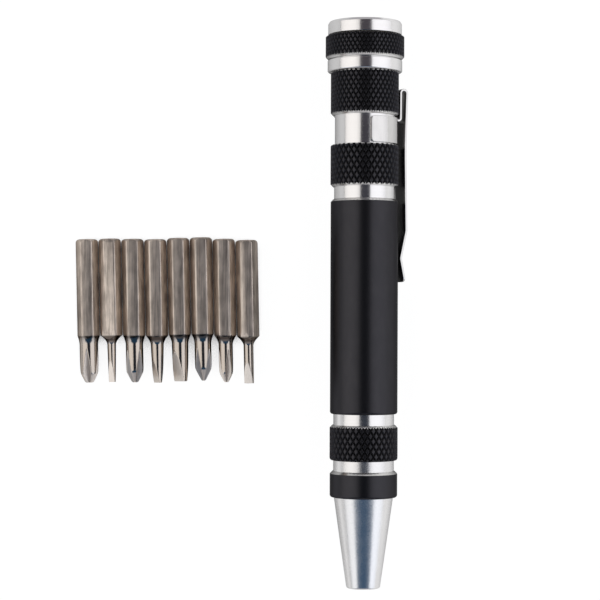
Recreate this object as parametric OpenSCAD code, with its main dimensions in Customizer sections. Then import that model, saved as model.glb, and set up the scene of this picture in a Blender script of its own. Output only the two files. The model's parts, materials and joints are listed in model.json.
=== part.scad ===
// Pocket screwdriver with a bit magazine in its handle, a screwed tail plug with a swivel top,
// a sprung pocket clip, and eight bits laid in a row beside it.
// The handle lies along +Y with its nose tip at the origin. +Z is up from the surface that the
// widest ring and the bits rest on.

/* [Nose] */
// Length of the bare nose cone
nose_len = 17.5; // [12:0.1:26]
// Metal round the socket's corners at the tip
nose_tip_wall = 0.9; // [0.6:0.05:1.4]
// Step from the core down to the wide end of the cone
nose_step = 0.15; // [0.05:0.05:0.4]
// Rounding of the tip's edge
nose_edge_r = 0.4; // [0.2:0.05:0.6]

/* [Bit socket] */
// Width across the flats of a bit's shank
hex_af = 3.96; // [3:0.02:5]
// Clearance across the socket's flats
socket_clear = 0.08; // [0.04:0.02:0.2]
// Depth of the socket from the tip to the magnet
socket_depth = 13; // [9:0.5:16]
// Width of the lead-in cone round the socket's mouth
socket_lead = 0.25; // [0.1:0.05:0.4]
// Length of the magnet
magnet_len = 3; // [1.5:0.5:5]
// How much narrower the magnet's seat is than the socket's flats
magnet_slack = 0.3; // [0.2:0.05:0.8]

/* [Front rings] */
// Length of the plain front ring
front_ring_len = 5.05; // [3:0.05:8]
// Length of the bright groove behind the plain front ring
front_gap = 2.05; // [1:0.05:4]
// Length of the knurled front grip
front_grip_len = 6.8; // [5:0.1:10]
// Length of the bright groove behind the front grip
grip_gap = 2.1; // [1:0.1:4]
// Distance from the front grip's front end to the joint of nose and core under it
joint_inset = 3.3; // [1.5:0.1:4.5]

/* [Core and barrel] */
// Bore of the bit magazine
magazine_d = 10.4; // [8.6:0.1:13]
// Wall of the core tube
tube_wall = 0.65; // [0.5:0.05:1.2]
// Wall of the black sleeves
sleeve_wall = 0.63; // [0.5:0.01:1.2]
// How far the knurled grips stand proud of the barrel
grip_proud = 0.05; // [0.02:0.01:0.2]
// Length of the plain barrel sleeve
barrel_len = 41.3; // [32:0.1:60]
// Chamfer at the ends of the sleeves
sleeve_chamfer = 0.45; // [0.2:0.05:0.5]
// Gap between a sleeve and the core that it is bonded to
bond_gap = 0.02; // [0.01:0.01:0.05]

/* [Rear grips] */
// Length of the bright groove behind the barrel
rear_gap = 2.1; // [1:0.1:6]
// Length of the knurled grip in front of the clip
rear_grip_len = 8.3; // [4:0.1:12]
// Length of the groove that the clip sits in
clip_gap = 5.4; // [5:0.1:9]
// Depth of the clip's seat in the core
clip_seat_depth = 0.11; // [0.05:0.01:0.2]
// Length of the knurled grip behind the clip
upper_grip_len = 8.57; // [6.5:0.01:12]

/* [Tail plug] */
// Length of the threaded spigots on the plug and the nose
spigot_len = 5; // [3.5:0.1:6]
// Pitch of the threads
thread_pitch = 0.75; // [0.5:0.05:1.2]
// Depth of the threads
thread_depth = 0.3; // [0.15:0.05:0.5]
// Radial clearance of the threads in the core's bore
thread_clear = 0.05; // [0.02:0.01:0.1]
// Wall of the plug's hollow spigot, at its thread crests
spigot_wall = 1.3; // [1:0.05:1.8]
// Gap between the plug's skirt and the end of the core when it is screwed home
seat_gap = 0.05; // [0.02:0.01:0.1]
// Length of the bright skirt
skirt_len = 2.2; // [1.5:0.05:4]
// How far the skirt stands proud of the barrel
skirt_proud = 0.68; // [0.3:0.02:1.2]
// Length of the wide knurled ring
plug_grip_len = 4.65; // [3.8:0.05:8]
// Wall of the wide knurled ring
plug_grip_wall = 0.92; // [0.8:0.01:2]
// Width of the skirt's ledge that the wide ring sits on
ring_ledge = 0.55; // [0.3:0.05:0.8]
// Chamfer on the edges of the plug, its ring and the swivel top
plug_chamfer = 0.3; // [0.1:0.05:0.4]
// Thickness of the plug's web round the swivel's stem
web_len = 3.5; // [2.5:0.1:4.5]

/* [Swivel top] */
// Thickness of the swivel top's disc
top_len = 2.5; // [1:0.1:4]
// How far the disc's edge lies inside the skirt's
top_inset = 0.08; // [0.05:0.01:0.5]
// Diameter of the swivel's stem
stem_d = 3; // [2.4:0.1:4]
// Radial clearance of the stem in the plug
stem_clear = 0.03; // [0.02:0.01:0.08]
// Length of the stem past the retaining ring
stem_tail = 0.7; // [0.4:0.1:1.5]
// Thickness of the thrust washer
washer_t = 0.26; // [0.2:0.02:0.6]
// Width of the thrust washer round the stem
washer_land = 3.2; // [1.5:0.1:4]
// Radial clearance of the thrust washer on the stem
washer_clear = 0.1; // [0.05:0.05:0.3]
// Running gap on each face of the washer and of the retaining ring
face_gap = 0.02; // [0.01:0.01:0.05]
// Thickness of the retaining ring
ring_t = 0.5; // [0.3:0.05:0.8]
// Width of the retaining ring outside the stem
ring_land = 1.2; // [0.8:0.1:1.6]
// Depth of the stem's groove for the retaining ring
ring_groove = 0.4; // [0.3:0.05:0.6]

/* [Pocket clip] */
// Angle of the clip below the level of the axis
clip_tilt = 27; // [0:1:35]
// Thickness of the clip's strip
strip_t = 0.42; // [0.3:0.02:0.55]
// Width of the tongue and the arm
strip_w = 4; // [3:0.1:5]
// Part of a turn that the clip's band wraps
band_wrap = 216; // [185:1:240]
// Clearance of the band round its seat
band_clear = 0.2; // [0.05:0.05:0.25]
// Clearance on each side of the band in its groove
band_side_clear = 0.1; // [0.1:0.05:0.4]
// Rounding of the band's corners
band_corner_r = 0.7; // [0.3:0.1:1.2]
// Clearance of the tongue over the grip behind it
tongue_clear = 0.18; // [0.1:0.02:0.4]
// Height of the fold above the clip's groove
fold_rise = 5.77; // [3.5:0.01:6.5]
// Distance from the tongue to the arm
arm_gap = 1.36; // [1.1:0.02:2]
// Length of the arm from the fold to the knee
arm_len = 27.3; // [22:0.1:36]
// How far the arm bows in between the fold and the knee
arm_bow = 0.34; // [0.1:0.02:0.45]
// How far the knee lies inside the top of the arm
knee_inset = 0.08; // [0:0.02:0.3]
// Length from the knee to the heel
heel_run = 5.3; // [4:0.1:8]
// Gap between the heel and the barrel
heel_clear = 0.3; // [0.2:0.02:0.6]
// Length from the heel to the tip
tip_run = 4.55; // [3.5:0.05:7]
// How far the tip flares out from the heel
tip_flare = 0.95; // [0.5:0.05:1.5]
// Rounding of the tip's corners
tip_corner_r = 1; // [0.5:0.1:1.4]
// Gap between the tongue and the fold, where the strip flexes
flex_gap = 0.15; // [0.1:0.01:0.2]

/* [Bits] */
// Length of a bit
bit_len = 28; // [24:0.5:36]
// Length of a bit's hexagon shank
shank_len = 18.8; // [12:0.1:20]
// Length of the cone between shank and shaft
neck_len = 1.8; // [1:0.1:3]
// Angle between a cross-head tip's taper and the bit's axis
cross_angle = 25; // [20:1:35]
// Length of a cross-head tip's flutes
flute_len = 6.5; // [4:0.1:7]
// Angle between a slotted tip's flats and the bit's axis
blade_angle = 12; // [8:1:20]
// Length over which a slotted bit narrows to its tip
blade_taper = 7; // [4:0.1:7.4]
// Chamfer at the shank's end
shank_chamfer = 0.5; // [0.2:0.05:0.8]
// Gap between neighbouring bits
bit_gap = 0.07; // [0.05:0.01:0.5]
// Distance from the handle's axis to the middle of the nearest bit
row_reach = 22.54; // [16:0.01:40]
// Distance from the nose tip to the middle of the row, along the handle
row_middle = 53.3; // [30:0.1:80]
// Angle that the bits lean to the left
row_lean = 1.35; // [0:0.05:4]

/* [Hidden] */

$fn = 96;
// Overrun of every cut past the face that it starts from
over = 0.5;
// Steps in a rounded corner
arc_steps = 8;
hex_sides = 6;

// Finishes
bright = [0.82, 0.82, 0.83];
black = [0.10, 0.10, 0.11];
steel = [0.70, 0.70, 0.71];
nylon = [0.92, 0.91, 0.88];
shank_grey = [0.36, 0.34, 0.33];

// Diameters, from the magazine's bore outwards
core_d = magazine_d + 2 * tube_wall;
sleeve_bore = core_d + 2 * bond_gap;
barrel_d = sleeve_bore + 2 * sleeve_wall;
grip_d = barrel_d + 2 * grip_proud;
skirt_d = barrel_d + 2 * skirt_proud;
ring_seat_d = skirt_d - 2 * ring_ledge;
plug_grip_bore = ring_seat_d + 2 * bond_gap;
plug_grip_d = plug_grip_bore + 2 * plug_grip_wall;
top_d = skirt_d - 2 * top_inset;
spigot_d = magazine_d - 2 * thread_clear;
hollow_d = spigot_d - 2 * spigot_wall;
stem_bore = stem_d + 2 * stem_clear;
ring_seat_stem_d = stem_d - 2 * ring_groove;

// Socket and magnet
socket_af = hex_af + socket_clear;
socket_corner_d = socket_af / cos(180 / hex_sides);
nose_tip_d = socket_corner_d + 2 * nose_tip_wall;
nose_root_d = core_d - 2 * nose_step;
magnet_seat_d = socket_af - magnet_slack;
magnet_d = magnet_seat_d - 2 * bond_gap;

// Stations along the handle, from the nose tip
front_ring_y = nose_len;
front_groove_y = front_ring_y + front_ring_len;
front_grip_y = front_groove_y + front_gap;
front_grip_end = front_grip_y + front_grip_len;
joint_y = front_grip_y + joint_inset;
barrel_y = front_grip_end + grip_gap;
barrel_end = barrel_y + barrel_len;
rear_grip_y = barrel_end + rear_gap;
rear_grip_end = rear_grip_y + rear_grip_len;
upper_grip_y = rear_grip_end + clip_gap;
core_end = upper_grip_y + upper_grip_len;
skirt_y = core_end + seat_gap;
plug_grip_y = skirt_y + skirt_len;
plug_end = plug_grip_y + plug_grip_len;
web_y = plug_end - web_len;
top_y = plug_end + washer_t + 2 * face_gap;
top_end = top_y + top_len;
ring_y = web_y - face_gap - ring_t;
stem_y = ring_y - face_gap - stem_tail;
floor_z = -plug_grip_d / 2;

// Thread form
crest_share = 0.5;

// Clip strip, as distance from the axis and station along it
clip_seat_d = core_d - 2 * clip_seat_depth;
band_bore = clip_seat_d + 2 * band_clear;
band_d = band_bore + 2 * strip_t;
band_y = rear_grip_end + band_side_clear;
band_end = upper_grip_y - band_side_clear;
band_mid_r = (band_bore + strip_t) / 2;
jog_y = band_end - strip_t / 2;
tongue_r = grip_d / 2 + tongue_clear + strip_t / 2;
arm_r = tongue_r + arm_gap;
fold_y = upper_grip_y + fold_rise - strip_t / 2;
flex_y = fold_y - arm_gap / 2;
knee_y = fold_y - arm_len;
heel_y = knee_y - heel_run;
heel_r = barrel_d / 2 + heel_clear + strip_t / 2;
tip_y = heel_y - tip_run;
tip_r = heel_r + tip_flare;
waist_share = 0.44;
waist_y = fold_y - arm_len * waist_share;
// Where the tongue starts, inside the band's bore, which then trims it
root_share = 0.9;
// Radii of the strip's bends, as shares of the lengths that they turn between
jog_share = 0.45;
fold_share = 0.48;
waist_bend_share = 3;
knee_share = 0.25;
heel_share = 0.3;

// Bits, left to right: shaft over flats, tip width over shaft, turn about the bit's own axis,
// and shift out of line towards the tail, over flats
shaft_shares = [0.91, 0.43, 0.86, 0.67, 0.82, 0.83, 0.70, 0.49];
tip_shares = [0.33, 0.76, 0.36, 0.74, 0.89, 0.23, 0.31, 0.97];
bit_turns = [37, -8, -4, -50, -42, 6, -21, -8];
shift_shares = [-0.03, 0, -0.01, -0.02, 0.05, 0.08, 0.01, -0.04];
corner_share = 0.96;
blade_share = 0.2;
flute_root_share = 0.35;
hex_corner_d = corner_share * hex_af / cos(180 / hex_sides);
row_pitch = hex_corner_d + bit_gap;
shaft_len = bit_len - shank_len - neck_len;

// Unit vector along v
function unit(v) = v / norm(v);

// v turned by an angle
function spin(v, angle) = [
  v.x * cos(angle) - v.y * sin(angle),
  v.x * sin(angle) + v.y * cos(angle)
];

// Arc of radius r that rounds the corner b between a and c
function rounded(a, b, c, r) =
  let (
    u = unit(a - b),
    w = unit(c - b),
    half = acos(u * w) / 2,
    centre = b + unit(u + w) * r / sin(half),
    first = b + u * r / tan(half) - centre,
    last = b + w * r / tan(half) - centre,
    turn = atan2(cross(first, last), first * last)
  )
  [for (i = [0 : arc_steps]) centre + spin(first, turn * i / arc_steps)];

// Path through corners, each inner one rounded with its own radius
function rounded_path(corners, radii) = [
  corners[0],
  for (i = [1 : len(corners) - 2])
    each rounded(corners[i - 1], corners[i], corners[i + 1], radii[i - 1]),
  corners[len(corners) - 1]
];

// Direction of a path at point i
function heading(path, i) =
  let (
    before = path[max(i - 1, 0)],
    after = path[min(i + 1, len(path) - 1)],
    arriving = i > 0 ? unit(path[i] - before) : [0, 0],
    leaving = i < len(path) - 1 ? unit(after - path[i]) : [0, 0]
  )
  unit(arriving + leaving);

// Path moved sideways by a distance
function beside(path, distance) = [
  for (i = [0 : len(path) - 1]) path[i] + distance * spin(heading(path, i), 90)
];

// Outline of a strip of thickness t along a path
function strip_outline(path, t) =
  let (back = beside(path, -t / 2))
  concat(beside(path, t / 2), [for (i = [len(back) - 1 : -1 : 0]) back[i]]);

// Ridges of a thread of radius r that ends at y
function thread_ridges(r, y, length) =
  let (
    turns = floor(length / thread_pitch),
    start = y - turns * thread_pitch
  )
  [
    for (i = [0 : turns - 1])
      each [
        [r - thread_depth, start + i * thread_pitch],
        [r, start + (i + crest_share) * thread_pitch]
      ],
    [r - thread_depth, y]
  ];

// Solid of revolution about the handle's axis, from points of radius and station
module turned(points) {
  rotate([-90, 0, 0])
    rotate_extrude()
      polygon(points);
}

// Frame of the clip: x out from the axis through the clip, z along the handle
module in_clip_frame() {
  rotate([-90, 0, 0])
    rotate([0, 0, clip_tilt])
      children();
}

// Ring with chamfered outer edges
module sleeve(y, length, outer_d, bore, chamfer) {
  turned([
    [bore / 2, y],
    [outer_d / 2 - chamfer, y],
    [outer_d / 2, y + chamfer],
    [outer_d / 2, y + length - chamfer],
    [outer_d / 2 - chamfer, y + length],
    [bore / 2, y + length]
  ]);
}

// Nose cone, front core and threaded spigot, with the socket and the magnet's seat
module nose_piece() {
  spigot_end = joint_y + spigot_len;
  cone_foot = [nose_root_d / 2, nose_len];
  color(bright)
    difference() {
      turned(concat(
        [[0, 0]],
        rounded([0, 0], [nose_tip_d / 2, 0], cone_foot, nose_edge_r),
        [cone_foot, [core_d / 2, nose_len], [core_d / 2, joint_y]],
        [[spigot_d / 2 - thread_depth, joint_y]],
        thread_ridges(spigot_d / 2, spigot_end, spigot_len - thread_pitch),
        [[0, spigot_end]]
      ));
      rotate([-90, 0, 0]) {
        translate([0, 0, -over])
          cylinder(h = socket_depth + over, d = socket_corner_d, $fn = hex_sides);
        cylinder(h = socket_depth + magnet_len, d = magnet_seat_d);
      }
      turned([
        [0, -socket_lead],
        [socket_corner_d / 2 + 2 * socket_lead, -socket_lead],
        [socket_corner_d / 2, socket_lead],
        [0, socket_lead]
      ]);
    }
}

module socket_magnet() {
  color(steel)
    rotate([-90, 0, 0])
      translate([0, 0, socket_depth])
        cylinder(h = magnet_len, d = magnet_d);
}

module front_ring() {
  color(black)
    sleeve(front_ring_y, front_ring_len, barrel_d, sleeve_bore, sleeve_chamfer);
}

module front_grip() {
  color(black)
    sleeve(front_grip_y, front_grip_len, grip_d, sleeve_bore, sleeve_chamfer);
}

// Tube that carries the sleeves and the clip, and whose bore is the magazine
module core_tube() {
  color(bright)
    turned([
      [magazine_d / 2, joint_y],
      [core_d / 2, joint_y],
      [core_d / 2, rear_grip_end],
      [clip_seat_d / 2, rear_grip_end],
      [clip_seat_d / 2, upper_grip_y],
      [core_d / 2, upper_grip_y],
      [core_d / 2, core_end],
      [magazine_d / 2, core_end]
    ]);
}

module barrel_sleeve() {
  color(black)
    sleeve(barrel_y, barrel_len, barrel_d, sleeve_bore, sleeve_chamfer);
}

module rear_grip() {
  color(black)
    sleeve(rear_grip_y, rear_grip_len, grip_d, sleeve_bore, sleeve_chamfer);
}

module upper_grip() {
  color(black)
    sleeve(upper_grip_y, upper_grip_len, grip_d, sleeve_bore, sleeve_chamfer);
}

// Strip with a bent profile, as wide as the clip
module bent_strip(path) {
  rotate([90, 0, 0])
    linear_extrude(height = strip_w, center = true)
      polygon(strip_outline(path, strip_t));
}

// What is cut from the ring past the band's end on the +y side, with the end's corners rounded
module band_end_cut() {
  inside = -band_corner_r - over;
  rotate([90, 0, 90])
    linear_extrude(height = band_d)
      polygon(concat(
        rounded([inside, band_end], [0, band_end], [0, band_y], band_corner_r),
        rounded([0, band_end], [0, band_y], [inside, band_y], band_corner_r),
        [
          [-band_corner_r, band_y - over],
          [band_d, band_y - over],
          [band_d, band_end + over],
          [-band_corner_r, band_end + over]
        ]
      ));
}

// Band that grips the core, with the tongue that rises over the grip behind it
module clip_band() {
  tongue = rounded_path(
    [
      [root_share * band_bore / 2, jog_y],
      [tongue_r, jog_y],
      [tongue_r, flex_y - flex_gap]
    ],
    [(tongue_r - band_mid_r) * jog_share]
  );
  color(steel)
    in_clip_frame()
      difference() {
        union() {
          translate([0, 0, band_y])
            cylinder(h = band_end - band_y, d = band_d);
          bent_strip(tongue);
        }
        translate([0, 0, band_y - over])
          cylinder(h = band_end - band_y + 2 * over, d = band_bore);
        for (side = [0, 1])
          mirror([0, side, 0])
            rotate([0, 0, band_wrap / 2])
              band_end_cut();
      }
}

// Fold, arm, heel and flared tip of the clip
module clip_arm() {
  knee_r = arm_r - knee_inset;
  arm = rounded_path(
    [
      [tongue_r, flex_y],
      [tongue_r, fold_y],
      [arm_r, fold_y],
      [arm_r - arm_bow, waist_y],
      [knee_r, knee_y],
      [heel_r, heel_y],
      [tip_r, tip_y]
    ],
    [
      arm_gap * fold_share,
      arm_gap * fold_share,
      arm_len * waist_bend_share,
      heel_run * knee_share,
      tip_run * heel_share
    ]
  );
  top = fold_y + strip_t;
  half_w = strip_w / 2;
  plan = concat(
    [[half_w, top], [-half_w, top]],
    rounded([-half_w, top], [-half_w, tip_y], [half_w, tip_y], tip_corner_r),
    rounded([-half_w, tip_y], [half_w, tip_y], [half_w, top], tip_corner_r)
  );
  color(steel)
    in_clip_frame()
      intersection() {
        bent_strip(arm);
        rotate([90, 0, 90])
          linear_extrude(height = arm_r + arm_gap)
            polygon(plan);
      }
}

// Hollow threaded plug that closes the magazine
module tail_plug() {
  spigot_y = core_end - spigot_len;
  color(bright)
    turned(concat(
      [[hollow_d / 2, web_y], [hollow_d / 2, spigot_y]],
      thread_ridges(spigot_d / 2, core_end - thread_pitch, spigot_len - thread_pitch),
      [
        [spigot_d / 2 - thread_depth, skirt_y],
        [skirt_d / 2 - plug_chamfer, skirt_y],
        [skirt_d / 2, skirt_y + plug_chamfer],
        [skirt_d / 2, plug_grip_y],
        [ring_seat_d / 2, plug_grip_y],
        [ring_seat_d / 2, plug_end],
        [stem_bore / 2, plug_end],
        [stem_bore / 2, web_y]
      ]
    ));
}

module plug_grip() {
  color(black)
    sleeve(plug_grip_y, plug_grip_len, plug_grip_d, plug_grip_bore, plug_chamfer);
}

module thrust_washer() {
  bore = stem_d + 2 * washer_clear;
  color(nylon)
    sleeve(plug_end + face_gap, washer_t, bore + 2 * washer_land, bore, 0);
}

// Disc under the finger, with the stem that turns in the plug
module swivel_top() {
  color(bright)
    turned([
      [0, stem_y],
      [stem_d / 2, stem_y],
      [stem_d / 2, ring_y - face_gap],
      [ring_seat_stem_d / 2, ring_y - face_gap],
      [ring_seat_stem_d / 2, ring_y + ring_t + face_gap],
      [stem_d / 2, ring_y + ring_t + face_gap],
      [stem_d / 2, top_y],
      [top_d / 2, top_y],
      [top_d / 2, top_end - plug_chamfer],
      [top_d / 2 - plug_chamfer, top_end],
      [0, top_end]
    ]);
}

// Open ring that is pushed on from the side
module retaining_ring() {
  bore = ring_seat_stem_d + 2 * bond_gap;
  ring_d = stem_d + 2 * ring_land;
  color(steel)
    rotate([-90, 0, 0])
      translate([0, 0, ring_y])
        difference() {
          cylinder(h = ring_t, d = ring_d);
          translate([0, 0, -over])
            cylinder(h = ring_t + 2 * over, d = bore);
          translate([0, -bore / 2, -over])
            cube([ring_d, bore, ring_t + 2 * over]);
        }
}

// Round blank of a bit, tip at zero, turned down from the shank's corners
module bit_blank(shaft_d, tip_d, taper_len) {
  rotate_extrude()
    polygon([
      [0, 0],
      [tip_d / 2, 0],
      [shaft_d / 2, taper_len],
      [shaft_d / 2, shaft_len],
      [hex_corner_d / 2, shaft_len + neck_len],
      [hex_corner_d / 2, bit_len - shank_chamfer],
      [hex_corner_d / 2 - shank_chamfer, bit_len],
      [0, bit_len]
    ]);
}

// Four V-shaped flutes that leave the wings of a cross-head tip
module cross_flutes(shaft_d, tip_d) {
  root = flute_root_share * tip_d / 2;
  tilt = atan((shaft_d / 2 - root) / flute_len);
  for (i = [0 : 3])
    rotate([0, 0, 45 + 90 * i])
      translate([root, 0, 0])
        rotate([0, tilt, 0])
          translate([0, 0, -over])
            linear_extrude(height = shaft_len + over)
              polygon([[0, 0], [shaft_d, -shaft_d], [shaft_d, shaft_d]]);
}

// Two tapered flats that leave the blade of a slotted tip
module blade_flats(shaft_d) {
  blade_t = blade_share * shaft_d;
  reach = shaft_d / 2 + over;
  reach_len = (reach - blade_t / 2) / tan(blade_angle);
  for (side = [0, 1])
    mirror([0, side, 0])
      rotate([90, 0, 90])
        linear_extrude(height = shaft_d + over, center = true)
          polygon([
            [blade_t / 2, -over],
            [reach, -over],
            [reach, reach_len],
            [blade_t / 2, 0]
          ]);
}

// Bit i of the row, counted from the left, lying on a flat
module bit(i, cross) {
  shaft_d = shaft_shares[i] * hex_af;
  tip_d = tip_shares[i] * shaft_d;
  taper_len = cross ? (shaft_d - tip_d) / 2 / tan(cross_angle) : blade_taper;
  places_to_nearest = len(shaft_shares) - 1 - i;
  x = -row_reach - places_to_nearest * row_pitch;
  y = row_middle + shift_shares[i] * hex_af;
  color(shank_grey)
    translate([x, y, floor_z + hex_af / 2])
      rotate([0, 0, row_lean])
        rotate([-90, 0, 0])
          translate([0, 0, -bit_len / 2])
            difference() {
              intersection() {
                bit_blank(shaft_d, tip_d, taper_len);
                cylinder(h = bit_len, d = hex_af / cos(180 / hex_sides), $fn = hex_sides);
              }
              rotate([0, 0, bit_turns[i]])
                if (cross)
                  cross_flutes(shaft_d, tip_d);
                else
                  blade_flats(shaft_d);
            }
}

module bit_1_cross() {
  bit(0, cross = true);
}

module bit_2_slot() {
  bit(1, cross = false);
}

module bit_3_cross() {
  bit(2, cross = true);
}

module bit_4_slot() {
  bit(3, cross = false);
}

module bit_5_slot() {
  bit(4, cross = false);
}

module bit_6_cross() {
  bit(5, cross = true);
}

module bit_7_cross() {
  bit(6, cross = true);
}

module bit_8_slot() {
  bit(7, cross = false);
}

nose_piece();
socket_magnet();
front_ring();
front_grip();
core_tube();
barrel_sleeve();
rear_grip();
upper_grip();
clip_band();
clip_arm();
tail_plug();
plug_grip();
thrust_washer();
swivel_top();
retaining_ring();
bit_1_cross();
bit_2_slot();
bit_3_cross();
bit_4_slot();
bit_5_slot();
bit_6_cross();
bit_7_cross();
bit_8_slot();
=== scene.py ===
"""Looks of a pocket screwdriver with a bit magazine, a sprung clip and eight loose bits.

Shapes are worked out in millimetres about the handle's axis: a radius, an angle that is zero at
the top and grows towards the clip, and a station along the handle from the nose tip.
"""

import json

import bmesh
import bpy
import numpy as np
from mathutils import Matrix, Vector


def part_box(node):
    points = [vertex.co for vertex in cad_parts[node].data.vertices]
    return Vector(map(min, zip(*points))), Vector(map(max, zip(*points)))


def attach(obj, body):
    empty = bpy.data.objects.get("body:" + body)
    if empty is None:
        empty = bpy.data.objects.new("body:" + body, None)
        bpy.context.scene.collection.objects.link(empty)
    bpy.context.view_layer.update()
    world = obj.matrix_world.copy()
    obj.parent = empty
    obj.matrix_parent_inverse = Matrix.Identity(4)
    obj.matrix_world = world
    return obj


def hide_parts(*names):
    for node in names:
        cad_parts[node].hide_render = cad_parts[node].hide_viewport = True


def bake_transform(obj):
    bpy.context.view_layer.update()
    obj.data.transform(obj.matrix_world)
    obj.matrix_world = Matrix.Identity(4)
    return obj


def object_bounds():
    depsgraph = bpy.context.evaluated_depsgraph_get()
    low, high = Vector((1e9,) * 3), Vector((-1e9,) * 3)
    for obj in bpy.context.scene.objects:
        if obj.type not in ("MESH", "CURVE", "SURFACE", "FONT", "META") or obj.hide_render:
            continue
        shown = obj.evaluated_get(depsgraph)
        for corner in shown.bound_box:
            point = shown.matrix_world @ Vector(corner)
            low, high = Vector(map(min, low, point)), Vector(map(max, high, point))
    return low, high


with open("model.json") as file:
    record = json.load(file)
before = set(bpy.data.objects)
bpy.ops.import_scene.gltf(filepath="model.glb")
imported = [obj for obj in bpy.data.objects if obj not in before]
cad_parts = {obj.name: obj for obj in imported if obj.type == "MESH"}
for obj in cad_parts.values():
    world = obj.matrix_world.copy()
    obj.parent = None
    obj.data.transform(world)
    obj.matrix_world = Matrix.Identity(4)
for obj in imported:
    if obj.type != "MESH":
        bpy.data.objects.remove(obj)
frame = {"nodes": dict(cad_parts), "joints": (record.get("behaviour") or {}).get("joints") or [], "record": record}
cad_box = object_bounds()

record = frame["record"]
BODY = {node: body for body, nodes in record["behaviour"]["bodies"].items() for node in nodes}

MM = 0.001
TURN = 2 * np.pi
# Points round a turned piece
AROUND = 192
# Steps in a rounded corner
ARC_STEPS = 6
# Distance of the extra points that keep a long side flat up to its ends
EDGE = 0.05
# Length from which a side is long, and distance within which points of an outline are one point
LONG_SIDE = 4 * EDGE
SAME_SPOT = EDGE / 100
# Angle between faces from which their edge is sharp
SHARP = np.radians(38)
# Distance within which points are one point, in metres
MERGE = 1e-8


# Sizes that come from the frame

def span(node):
    """First and last station of a node."""
    low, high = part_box(node)
    return low.y / MM, high.y / MM


def outer_radius(node):
    """Largest radius of a node that is centred on the handle's axis."""
    low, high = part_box(node)
    return (high.z - low.z) / 2 / MM


# Mesh tools

def polar(radius, angle, station):
    """Points in metres at a radius, at an angle from the top towards the clip, at a station."""
    radius, angle, station = np.broadcast_arrays(radius, angle, station)
    return np.stack([radius * np.sin(angle), station, radius * np.cos(angle)], axis=-1) * MM


def angles(count):
    """Equal steps round the axis."""
    return np.arange(count) * TURN / count


def grid_faces(rows, columns, closed):
    """Quads between neighbouring rows of points that go round.

    A closed grid also joins its last row and its first.
    """
    here = np.arange(rows * columns).reshape(rows, columns)
    above = np.roll(here, -1, axis=0)
    if not closed:
        here, above = here[:-1], above[:-1]
    corners = [here, np.roll(here, -1, axis=1), np.roll(above, -1, axis=1), above]
    return np.stack(corners, axis=-1).reshape(-1, 4)


def staggered_faces(rows, columns):
    """Triangles between rows of points, odd rows half a step further round, closed both ways."""
    here = np.arange(rows * columns).reshape(rows, columns)
    above = np.roll(here, -1, axis=0)
    here_next, above_next = np.roll(here, -1, axis=1), np.roll(above, -1, axis=1)
    even, odd = slice(0, None, 2), slice(1, None, 2)
    corners = [
        (here[even], here_next[even], above[even]),
        (above[even], here_next[even], above_next[even]),
        (here[odd], here_next[odd], above_next[odd]),
        (above[odd], here[odd], above_next[odd]),
    ]
    return np.concatenate([np.stack(three, axis=-1).reshape(-1, 3) for three in corners])


def new_mesh(name, points, faces, values=None):
    """Mesh of points and faces, with a number at each point for each named value."""
    points = points.reshape(-1, 3)
    count, sides = faces.shape
    mesh = bpy.data.meshes.new(name)
    mesh.vertices.add(len(points))
    mesh.vertices.foreach_set("co", points.ravel())
    mesh.loops.add(count * sides)
    mesh.loops.foreach_set("vertex_index", faces.ravel())
    mesh.polygons.add(count)
    mesh.polygons.foreach_set("loop_start", np.arange(0, count * sides, sides))
    mesh.update(calc_edges=True)
    for key, numbers in (values or {}).items():
        layer = mesh.attributes.new(key, "FLOAT", "POINT")
        layer.data.foreach_set("value", np.ascontiguousarray(numbers, float).ravel())
    return mesh


def smoothed(mesh, merge):
    """Turns a shell's faces outwards and smooths it, after joining points at one place if asked."""
    shell = bmesh.new()
    shell.from_mesh(mesh)
    if merge:
        bmesh.ops.remove_doubles(shell, verts=shell.verts, dist=MERGE)
    bmesh.ops.recalc_face_normals(shell, faces=shell.faces)
    shell.to_mesh(mesh)
    shell.free()
    mesh.shade_smooth()
    mesh.set_sharp_from_angle(angle=SHARP)
    return mesh


def closed_mesh(name, points, faces, values=None):
    """Mesh of a closed shell whose seams and poles are joined."""
    return smoothed(new_mesh(name, points, faces, values), True)


def new_object(name, data):
    """Object in the scene that holds a mesh, a lamp or a camera."""
    made = bpy.data.objects.new(name, data)
    bpy.context.scene.collection.objects.link(made)
    return made


def new_piece(name, mesh, finish, *nodes):
    """Object for a mesh that stands for CAD nodes."""
    piece = new_object(name, mesh)
    mesh.materials.append(finish)
    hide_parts(*nodes)
    return piece


def show(node, mesh, finish):
    """Puts a mesh in a node's place, on the node's body."""
    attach(new_piece(node + "_form", mesh, finish, node), BODY[node])


# Outlines

def unit(vector):
    """Direction of a vector."""
    return vector / np.linalg.norm(vector)


def ease(value):
    """Smooth step from 0 to 1 as a value goes from 0 to 1."""
    value = np.clip(value, 0, 1)
    return value * value * (3 - 2 * value)


def corner_arc(before, corner, after, rounding):
    """Arc that touches both sides of a corner.

    Its centre lies on the corner's bisector, rounding / sin(half the corner's angle) away.
    """
    back, ahead = unit(before - corner), unit(after - corner)
    half = np.arccos(back @ ahead) / 2
    centre = corner + unit(back + ahead) * rounding / np.sin(half)
    first = corner + back * rounding / np.tan(half) - centre
    last = corner + ahead * rounding / np.tan(half) - centre
    turn = np.pi - 2 * half
    share = np.linspace(0, 1, ARC_STEPS + 1)[:, None]
    swept = first * np.sin((1 - share) * turn) + last * np.sin(share * turn)
    return centre + swept / np.sin(turn)


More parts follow.
